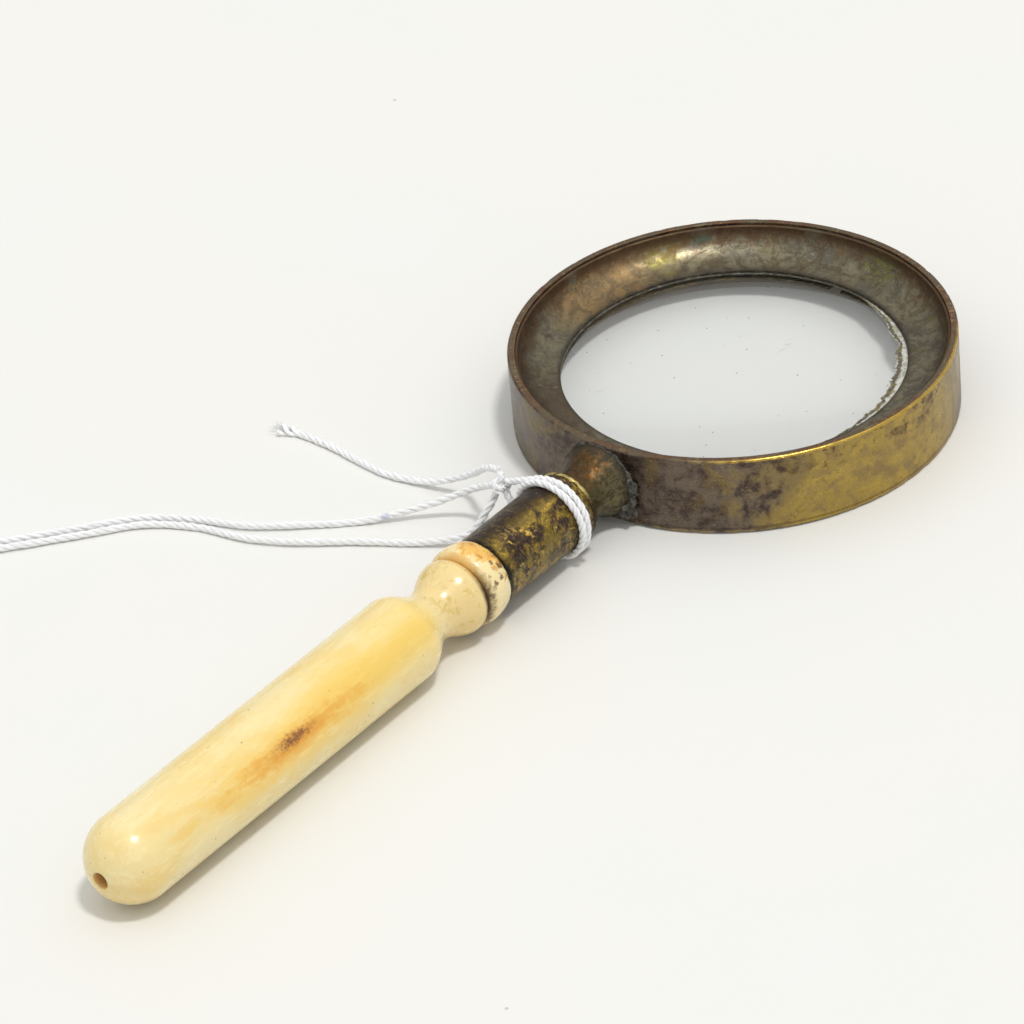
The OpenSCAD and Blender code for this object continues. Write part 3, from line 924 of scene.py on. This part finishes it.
def cut_notch(obj, side):
    """Cuts one of the two spanner notches in the back ring's inner edge."""
    wide, deep = 1.0, 1.3
    cutter = add_object("notch_cutter", bpy.data.meshes.new("notch_cutter"))
    shape = bmesh.new()
    bmesh.ops.create_cube(shape, size=1)
    middle = Vector((REACH + side * (VIEW_R + deep / 2 - 0.5), 0, 0))
    for v in shape.verts:
        size = Vector((deep + 1, 2 * wide, 3 * RIM_Z))
        v.co = (middle + Vector(a * b for a, b in zip(v.co, size))) * MM
    shape.to_mesh(cutter.data)
    shape.free()
    cut = obj.modifiers.new("notch", "BOOLEAN")
    cut.operation, cut.object, cut.solver = "DIFFERENCE", cutter, "EXACT"
    bpy.context.view_layer.update()
    done = bpy.data.meshes.new_from_object(obj.evaluated_get(bpy.context.evaluated_depsgraph_get()))
    obj.modifiers.clear()
    obj.data = done
    bpy.data.objects.remove(cutter)


def make_lens(glass):
    rings = 46
    radii = [LENS_R * i / rings for i in range(rings)] + [LENS_R - 0.08]
    front = [(r, face_height(r, 1)) for r in radii]
    back = [(r, face_height(r, -1)) for r in reversed(radii)]
    rim = [(LENS_R, face_height(LENS_R, 1) - 0.08), (LENS_R, face_height(LENS_R, -1) + 0.08)]
    points, faces = turn(front + rim + back, on_rim, 240, closed=False)
    piece("lens_glass", points, faces, "lens", glass, "lens_glass", "lens")


def make_bedding(cement):
    """The ring of cement round the lens, and the crust of it squeezed out on one side of the view."""
    inside, high = VIEW_R - 0.08, SEAT_Z - 0.01
    profile = [
        (inside, face_height(inside, 1) + 0.012), (LENS_R + 0.01, LENS_TOP + 0.012),
        (LENS_R + 0.1, LENS_TOP - 0.08), (LENS_R + 0.1, high), (inside, high),
    ]
    points, faces = turn(split_long(profile, 0.3), on_rim, 300)
    start, end, columns, rows = math.radians(-128), math.radians(-12), 420, 12
    first = len(points)
    tags = [0.0] * first
    for side in (1, 0):
        for i in range(columns + 1):
            u = i / columns
            angle = start + (end - start) * u
            broad = 0.85 + 0.45 * wear(Vector((angle * 7, 1, 2)), 1.0, 3)
            wide = 1.9 * math.sin(math.pi * u ** 1.1) ** 0.8 * broad
            wide *= 1 + 0.12 * wear(Vector((angle * 30, 5, 2)), 1.0, 4)
            for k in range(rows + 1):
                v = k / rows
                radius = VIEW_R - 0.04 - max(wide, 0.04) * v
                crust = 0.1 * (1 - v ** 3) + 0.05 * wear(Vector((angle * 60, radius * 2.5, 0)), 1.0)
                height = face_height(radius, 1) + 0.006 + side * max(crust, 0.02)
                points.append(on_rim(radius, angle, height))
                tags.append(v)
    stride = rows + 1
    sheet = stride * (columns + 1)
    for i in range(columns):
        for k in range(rows):
            a = first + i * stride + k
            faces.append((a, a + 1, a + stride + 1, a + stride))
            faces.append((a + sheet, a + sheet + stride, a + sheet + stride + 1, a + sheet + 1))
        for k in (0, rows):
            a = first + i * stride + k
            faces.append((a, a + stride, a + sheet + stride, a + sheet))
    for i in (0, columns):
        for k in range(rows):
            a = first + i * stride + k
            faces.append((a, a + 1, a + sheet + 1, a + sheet))
    piece("lens_cement", points, faces, "rim", cement, "bedding", "lens_bedding", tags=tags)


# ---------------------------------------------------------------- neck and ferrule


def to_band(point, gap=0.02):
    """Keeps a point of the neck outside the band: its x goes no deeper than the band's wall."""
    x, y, z = point
    return (min(x, REACH - math.sqrt((RIM_R - gap) ** 2 - y * y)), y, z)


def make_boss(brass):
    flare_from = BOSS_START + 2.8
    flare = ROOT_X - flare_from
    profile = (
        [(STUD_R + 0.02, BOSS_START), (BOSS_R - 0.18, BOSS_START)]
        + corner(BOSS_R, BOSS_START, 0.18, 270, 3)
        + [(ease(BOSS_R, ROOT_R, i / 24), flare_from + flare * i / 24) for i in range(25)]
        + [(ROOT_R, ROOT_X + 1.5), (STUD_R + 0.02, ROOT_X + 1.5)]
    )

    def depth(p):
        skin_deep = step_up(math.hypot(p.y, p.z), STUD_R + 0.5, BOSS_R - 0.3)
        return -skin_deep * (0.05 * max(0, wear(p, 0.9)) + 0.06 * max(0, wear(p, 2.2) - 0.2))

    kind = "rim", brass, "brass_dark", "socket_boss"
    place = lambda *at: to_band(on_handle(*at))
    turned("boss_brass", profile, 0.3, place, 160, *kind, depth=depth, sharp=50)


def make_solder(metal):
    """A lumpy bead round the boss's foot, swollen into one lump low on the front."""
    steps, sides = 200, 22
    lump_at = math.atan2(4.5, -3.5)
    points = []
    for i in range(steps):
        angle = math.tau * i / steps
        off = (angle - lump_at + math.pi) % math.tau - math.pi
        size = 0.26 + 0.14 * wear(Vector((math.cos(angle) * 3, math.sin(angle) * 3, 1)), 1.0)
        size += 1.1 * math.exp(-((off / 0.34) ** 2)) + 0.4 * math.exp(-(((off + 0.7) / 0.3) ** 2))
        for k in range(sides):
            c, s = math.cos(math.tau * k / sides), math.sin(math.tau * k / sides)
            lump = 1 + 0.8 * wear(Vector((angle * 5, 1.4 * c, 1.4 * s)), 1.6)
            radius = ROOT_R - 0.12 + size * lump * c
            x = ROOT_X + 0.12 + size * lump * 0.9 * s
            points.append(to_band(on_handle(radius, angle, x + 0.3 * (radius / ROOT_R - 1)), 0.05))
    faces = skin(ring_numbers(steps, sides), closed=True)
    piece("boss_solder_bead", points, faces, "rim", metal, "solder", "boss_solder", sharp=70)


def thread(angle, x, depth):
    """How far a screw's surface lies under its crest, 0 at the crest and depth in the groove."""
    u = (x / SCREW_PITCH + angle / math.tau) % 1
    return depth * (1 - abs(2 * u - 1)) ** 0.8


def make_stud(brass):
    depth, steps, step = 0.42, 96, 0.08
    count = round((STUD_END - STUD_START) / step)
    points = []
    for i in range(count + 1):
        x = STUD_START + (STUD_END - STUD_START) * i / count
        tip = min(1, (x - STUD_START) / 0.6)
        plain = step_up(x, BOSS_START - 1.4, BOSS_START - 0.9)
        for k in range(steps):
            angle = math.tau * k / steps
            groove = thread(angle, x, depth) * (1 - plain) + 0.25 * plain
            points.append(on_handle(min(STUD_R - 0.45 + 0.45 * tip, STUD_R - groove), angle, x))
    rings = ring_numbers(count + 1, steps)
    faces = skin(rings) + [tuple(rings[0]), tuple(rings[-1])]
    piece("stud_thread", points, faces, "rim", brass, "brass_bright", "screw_stud", sharp=60)


def make_seat(brass):
    bevel, bore = 0.2, STUD_R + 0.06
    profile = (
        [(bore, SEAT_START)]
        + corner(FERRULE_R, SEAT_START, bevel, 270, 4)
        + corner(FERRULE_R, SEAT_END, bevel, 0, 4)
        + [(bore, SEAT_END)]
    )

    def depth(p):
        rim = step_up(math.hypot(p.y, p.z), FERRULE_R - 0.5, FERRULE_R - 0.1)
        return -rim * (0.1 * max(0, wear(p, 1.3)) + 0.06 * abs(wear(p, 4)))

    kind = "collar", brass, "brass_bright", "seat_collar"
    turned("seat_collar_brass", profile, 0.14, on_handle, 200, *kind, depth=depth)


def make_ferrule(brass):
    inner = FERRULE_R - 0.6
    profile = (
        [(inner, FERRULE_START)]
        + corner(FERRULE_R, FERRULE_START, 0.1, 270, 3)
        + corner(FERRULE_R, FERRULE_END, 0.15, 0, 3)
        + [(inner, FERRULE_END)]
    )
    dents = [
        (80.2, 0.9, 1.7, 0.16), (84.6, -0.2, 1.4, 0.13), (86.8, 1.5, 2.2, 0.12), (78.4, 2.3, 1.5, 0.14)
    ]

    def depth(p):
        angle = math.atan2(-p.y, p.z)
        outside = step_up(math.hypot(p.y, p.z), inner + 0.3, FERRULE_R - 0.05)
        deep = 0.05 * max(0, wear(p, 0.6)) + 0.04 * max(0, wear(p, 1.8) - 0.1)
        for x, at, size, drop in dents:
            off = (angle - at + math.pi) % math.tau - math.pi
            deep += drop * math.exp(-(((p.x - x) / size) ** 2) - (off * FERRULE_R / size) ** 2)
        return -outside * deep

    kind = "handle", brass, "brass_dark", "ferrule"
    turned("ferrule_tube", profile, 0.2, on_handle, 200, *kind, depth=depth)


def make_bush(brass):
    """The screwed bush in the ferrule's end, with the stud's thread cut in its bore."""
    steps, step = 96, 0.1
    bore = STUD_R + 0.07
    count = round((BUSH_END - BUSH_START) / step)
    points = []
    for i in range(count + 1):
        x = BUSH_START + (BUSH_END - BUSH_START) * i / count
        mouth = 0.25 * step_up(x, BUSH_END - 0.35, BUSH_END)
        for k in range(steps):
            angle = math.tau * k / steps
            cut = 0.4 - thread(angle, x, 0.4)
            points.append(on_handle(bore + max(mouth, cut), angle, x))
    for x, radius in ((BUSH_START, BUSH_R), (BUSH_END - 0.12, BUSH_R), (BUSH_END, BUSH_R - 0.12)):
        points += [on_handle(radius, math.tau * k / steps, x) for k in range(steps)]
    rings = ring_numbers(count + 4, steps)
    faces = skin(rings[:-3] + rings[:-4:-1], closed=True)
    piece("bush_thread", points, faces, "handle", brass, "brass_bright", "ferrule_bush", sharp=60)


def make_pitch(pitch):
    """Black pitch round the tenon: a ragged line shows between the ferrule and the bone collar."""
    lip = FERRULE_START - 0.03
    outer, tenon = FERRULE_R - 0.08, TENON_R + 0.03
    profile = [
        (tenon, PITCH_START), (outer, PITCH_START), (outer, lip), (BUSH_R, lip), (BUSH_R, PITCH_END),
        (tenon, PITCH_END),
    ]
    kind = "handle", pitch, "pitch", "ferrule_pitch"
    turned(
        "pitch_seal", profile, 0.5, on_handle, 140, *kind,
        depth=lambda p: 0.05 * wear(p, 1.5) * step_up(math.hypot(p.y, p.z), BUSH_R, outer),
    )


# ---------------------------------------------------------------- bone


def make_collar(bone):
    top_x, end_r, bore = COLLAR_START + 1.7, FERRULE_R + 0.2, TENON_R + 0.02
    bead = [
        (COLLAR_R - (COLLAR_R - 4.6) * (1 - math.sin(t)), top_x - (top_x - COLLAR_START) * math.cos(t))
        for t in (math.pi / 2 * i / 16 for i in range(17))
    ]
    slope = [
        (COLLAR_R - (COLLAR_R - end_r) * u * u, top_x + (COLLAR_END - 0.12 - top_x) * u)
        for u in (i / 12 for i in range(1, 13))
    ]
    profile = [(bore, COLLAR_START)] + bead + slope + [(end_r - 0.12, COLLAR_END), (bore, COLLAR_END)]

    def depth(p):
        chip = step_up(p.x, COLLAR_END - 0.5, COLLAR_END - 0.1) * max(0, wear(p, 1.1) - 0.15) * 0.25
        outside = step_up(math.hypot(p.y, p.z), TENON_R + 0.3, TENON_R + 0.9)
        return -outside * (chip + 0.02 * abs(wear(p, 0.6)))

    kind = "handle", bone, "bone", "handle_collar"
    turned("collar_bone", profile, 0.3, on_handle, 180, *kind, depth=depth)


def make_handle(bone):
    flat_r = HOLE_R + 0.35
    dome_x = math.sqrt(BUTT_R ** 2 - flat_r ** 2)
    first = math.degrees(math.asin(flat_r / BUTT_R))
    dome = [
        (BUTT_R * math.sin(t), dome_x - BUTT_R * math.cos(t))
        for t in (math.radians(first + (90 - first) * i / 30) for i in range(31))
    ]
    shoulder_long, flare_long = WAIST_X - SHOULDER_X, FLARE_X - WAIST_X
    shoulder = [
        (ease(SHOULDER_R, WAIST_R, i / 36), SHOULDER_X + shoulder_long * i / 36) for i in range(37)
    ]
    flare = [(ease(WAIST_R, FLARE_R, i / 30), WAIST_X + flare_long * i / 30) for i in range(1, 31)]
    lip = [
        (FLARE_R - 0.75 * (1 - math.cos(t)), FLARE_X + (FLARE_END - FLARE_X) * math.sin(t))
        for t in (math.pi / 2 * i / 12 for i in range(1, 13))
    ]
    hole = [
        (0, HOLE_DEPTH + 0.6), (HOLE_R, HOLE_DEPTH), (HOLE_R, 0.18),
        (HOLE_R + 0.06, 0.05), (HOLE_R + 0.2, 0),
    ]
    tenon = [(TENON_R, FLARE_END), (TENON_R, TENON_END - 0.3), (TENON_R - 0.3, TENON_END), (0, TENON_END)]

    def depth(p):
        radius = math.hypot(p.y, p.z)
        outside = step_up(radius, TENON_R + 0.1, TENON_R + 0.6)
        outside *= step_up(radius, HOLE_R + 0.2, HOLE_R + 0.8)
        wave = wear(Vector((p.x * 0.35, p.y, p.z)), 0.12, 2)
        return -outside * (0.06 * (0.5 + 0.5 * wave) + 0.01 * abs(wear(p, 0.7)))

    kind = "handle", bone, "bone", "handle"
    profile = hole + dome + shoulder + flare + lip + tenon
    turned("handle_bone", profile, 0.55, on_handle, 180, *kind, depth=depth, closed=False)


# ---------------------------------------------------------------- string


def smooth_route(route, step):
    """Points of a smooth curve through the route, a step apart."""
    route = [Vector(p) for p in route]
    fine = []
    for i in range(len(route) - 1):
        a, b = route[max(i - 1, 0)], route[i]
        c, d = route[i + 1], route[min(i + 2, len(route) - 1)]
        for k in range(40):
            u = k / 40
            square, cube = a * 2 - b * 5 + c * 4 - d, b * 3 - a - c * 3 + d
            fine.append((b * 2 + (c - a) * u + square * u ** 2 + cube * u ** 3) / 2)
    return even_steps(fine + [route[-1]], step)


def even_steps(points, step):
    lengths = np.cumsum([0] + [(b - a).length for a, b in zip(points, points[1:])])
    at = np.linspace(0, lengths[-1], max(2, round(lengths[-1] / step) + 1))
    axes = [np.interp(at, lengths, [p[i] for p in points]) for i in range(3)]
    return [Vector(p) for p in zip(*axes)]


def frames_along(line):
    """A side and a top for each point of the line, carried along it without twist."""
    out = []
    side = None
    for i, p in enumerate(line):
        way = (line[min(i + 1, len(line) - 1)] - line[max(i - 1, 0)]).normalized()
        if side is None:
            side = way.cross(Vector((0, 0, 1)) if abs(way.z) < 0.9 else Vector((0, 1, 0)))
        side = (side - way * side.dot(way)).normalized()
        out.append((side, way.cross(side)))
    return out


HAIR = (0, 0.25, 0.5, 0.75, 1)


class Yarn:
    """Builds one mesh of twisted plies and loose fibres."""

    def __init__(self, seed):
        self.random = random.Random(seed)
        self.points = []
        self.faces = []

    def tube(self, line, radius, sides, closed_ends=True):
        """A tube along the line, with a radius that can change with the share of its length."""
        first = len(self.points)
        for i, (p, (side, top)) in enumerate(zip(line, frames_along(line))):
            r = radius(i / (len(line) - 1)) if callable(radius) else radius
            for k in range(sides):
                t = math.tau * k / sides
                self.points.append(p + r * (side * math.cos(t) + top * math.sin(t)))
        rings = ring_numbers(len(line), sides, first)
        self.faces += skin(rings)
        if closed_ends:
            self.faces += [tuple(rings[0]), tuple(rings[-1])]

    def plies(self, line, diameter, pitch, phase=0.0, open_end=0.0):
        """Three plies laid round the line. open_end is the length at its end where they spread."""
        ply_r = diameter * 0.29
        lay_r = diameter / 2 - ply_r
        frames = frames_along(line)
        step = (line[1] - line[0]).length
        length = step * (len(line) - 1)
        for ply in range(3):
            strand = []
            for i, (p, (side, top)) in enumerate(zip(line, frames)):
                along = i * step
                drift = 0.5 * noise.noise(Vector((along * 0.25, phase, ply)))
                t = math.tau * (along / pitch + ply / 3) + phase + drift
                spread = 0.0
                if open_end:
                    spread = max(0, (along - length + open_end) / open_end) ** 1.5
                r = lay_r * (1 + 0.12 * noise.noise(Vector((along * 0.8, 7 + ply, phase)))) + 1.1 * spread
                strand.append(p + r * (side * math.cos(t) + top * math.sin(t) * (1 - 0.6 * spread)))
            self.tube(strand, lambda u, s=ply: ply_r * (1 + 0.1 * math.sin(u * 97 + s)), 8)

    def fibres(self, line, diameter, per_mm, longest=1.1):
        """Loose hairs that stand off the surface, leaning along the line."""
        frames = frames_along(line)
        step = (line[1] - line[0]).length
        for _ in range(int(per_mm * step * (len(line) - 1))):
            i = self.random.randrange(1, len(line) - 2)
            side, top = frames[i]
            t = self.random.uniform(0, math.tau)
            out = side * math.cos(t) + top * math.sin(t)
            if out.z < -0.3:
                continue
            way = (line[i + 1] - line[i]).normalized() * self.random.choice((-1, 1))
            curl = way.cross(out) * self.random.uniform(-0.6, 0.6)
            long = self.random.uniform(0.35, 1) * longest
            start = line[i] + out * diameter * 0.42
            lift = self.random.uniform(0.15, 0.55)
            hair = [start + long * (way * u + out * lift * math.sin(u * 2.2) + curl * u * u) for u in HAIR]
            self.tube(hair, lambda u: 0.014 * (1 - 0.6 * u), 3, closed_ends=False)

    def tassel(self, end, way, count, longest):
        """A frayed tip: fibres that fan out along way."""
        side = way.cross(Vector((0, 0, 1))).normalized()
        for _ in range(count):
            fan = side * self.random.gauss(0, 0.35) + Vector((0, 0, self.random.uniform(-0.02, 0.3)))
            heading = (way + fan).normalized()
            long = longest * self.random.uniform(0.4, 1)
            bow = side * self.random.gauss(0, 0.25) + Vector((0, 0, self.random.uniform(0, 0.2)))
            start = end + side * self.random.gauss(0, 0.2) - way * 0.4
            hair = [start + heading * long * u + bow * long * u * (1 - u) for u in HAIR]
            self.tube(hair, lambda u: 0.03 * (1 - 0.7 * u), 3, closed_ends=False)

    def finish(self, name, material, node):
        return piece(name, self.points, self.faces, "collar", material, "cotton", node, sharp=80)


def turns_line():
    """The string's way from the knot, round the ferrule twice, and back to the knot."""
    reach = math.hypot(KNOT.y, KNOT.z)
    knot_angle = math.atan2(KNOT.z, KNOT.y)
    spread = math.acos(TURN_R / reach)
    start, end = knot_angle + spread, knot_angle - spread + 2 * math.tau
    line = []
    for i in range(241):
        angle = start + (end - start) * i / 240
        shift = step_up(angle, knot_angle + math.tau - 1.0, knot_angle + math.tau + 1.0)
        x = TURN_X + TURN_GAP * (0.5 - shift)
        line.append(Vector((x, TURN_R * math.cos(angle), TURN_R * math.sin(angle))))
    near = [KNOT.lerp(line[0], 0.12 + 0.11 * i) for i in range(8)]
    far = [line[-1].lerp(KNOT, 0.11 * i) for i in range(1, 9)]
    return even_steps(near + line + far, 0.12)


def make_turns(cotton):
    yarn = Yarn(3)
    line = turns_line()
    yarn.plies(line, STRING_D * 0.98, 3.2, 0.4)
    yarn.fibres(line, STRING_D, 3.0, 0.8)
    yarn.finish("string_turns_yarn", cotton, "string_turns")


def make_knot(name, cotton, node, centre, size, tilt):
    """A tight overhand knot: the string runs along a trefoil."""
    yarn = Yarn(5)
    spin = Matrix.Rotation(math.radians(tilt), 3, "X") @ Matrix.Rotation(math.radians(35), 3, "Z")
    line = []
    for i in range(121):
        t = math.tau * i / 120 + 0.35
        p = Vector((
            math.sin(t) + 2 * math.sin(2 * t), math.cos(t) - 2 * math.cos(2 * t), -1.25 * math.sin(3 * t),
        ))
        line.append(centre + spin @ p * (size / 3.9))
    line = even_steps(line[:-3], 0.1)
    yarn.plies(line, STRING_D * 0.86, 2.0)
    yarn.fibres(line, STRING_D * 0.86, 1.2, 0.6)
    return yarn.finish(name, cotton, node)


def make_free_string(name, cotton, node, route, seed, frayed=0.0):
    yarn = Yarn(seed)
    line = smooth_route(route, 0.14)
    yarn.plies(line, STRING_D, 4.2, seed, open_end=frayed)
    yarn.fibres(line, STRING_D, 6.0, 1.4)
    if frayed:
        yarn.tassel(line[-1], (line[-1] - line[-6]).normalized(), 80, 2.6)
    obj = yarn.finish(name, cotton, node)


# ---------------------------------------------------------------- scene


def make_floor():
    """A sheet that touches the rim's far edge and the string's turns, so it tilts a little."""
    far, near = REACH + RIM_R, TURN_X
    slope = (RIM_Z - (TURN_R + STRING_D / 2 - 0.04)) / (far - near)
    mesh = bpy.data.meshes.new("floor_sheet")
    wide = 4000
    square = (-wide, -wide), (wide, -wide), (wide, wide), (-wide, wide)
    corners = [(x, y, -RIM_Z - (x - far) * slope) for x, y in square]
    mesh.from_pydata([tuple(c * MM for c in p) for p in corners], [], [(0, 1, 2, 3)])
    mesh.materials.append(pale_floor())
    floor = add_object("floor_sheet", mesh)


bpy.context.scene.view_settings.view_transform = "Standard"
add_camera()
add_world()
add_lamp("overhead", azimuth=-95, elevation=72, energy=1.35, spread=8, colour=(1, 0.99, 0.97))
make_floor()

cotton = white_cotton()
make_turns(cotton)
make_knot("string_knot_yarn", cotton, "string_knot", KNOT, 1.5, 70)
end_knot = make_knot("string_end_knot_yarn", cotton, "string_end_knot", END_KNOT, 1.45, 20)
make_free_string("string_lead_1_yarn", cotton, "string_lead_1", LEAD_1, 11)
make_free_string("string_lead_2_yarn", cotton, "string_lead_2", LEAD_2, 12)
make_free_string("string_tail_yarn", cotton, "string_tail", TAIL, 13, frayed=3.0)

make_band(band_brass())
dish = dish_brass()
make_front_bezel(dish)
make_back_bezel(dish)
make_lens(lens_glass())
make_bedding(old_cement())

make_boss(neck_brass())
make_solder(grey_solder())
bare = bare_brass()
make_stud(bare)
make_seat(worn_seat())
make_bush(bare)
make_ferrule(ferrule_brass())
make_pitch(black_pitch())

bone = polished_bone()
make_collar(bone)
make_handle(bone)
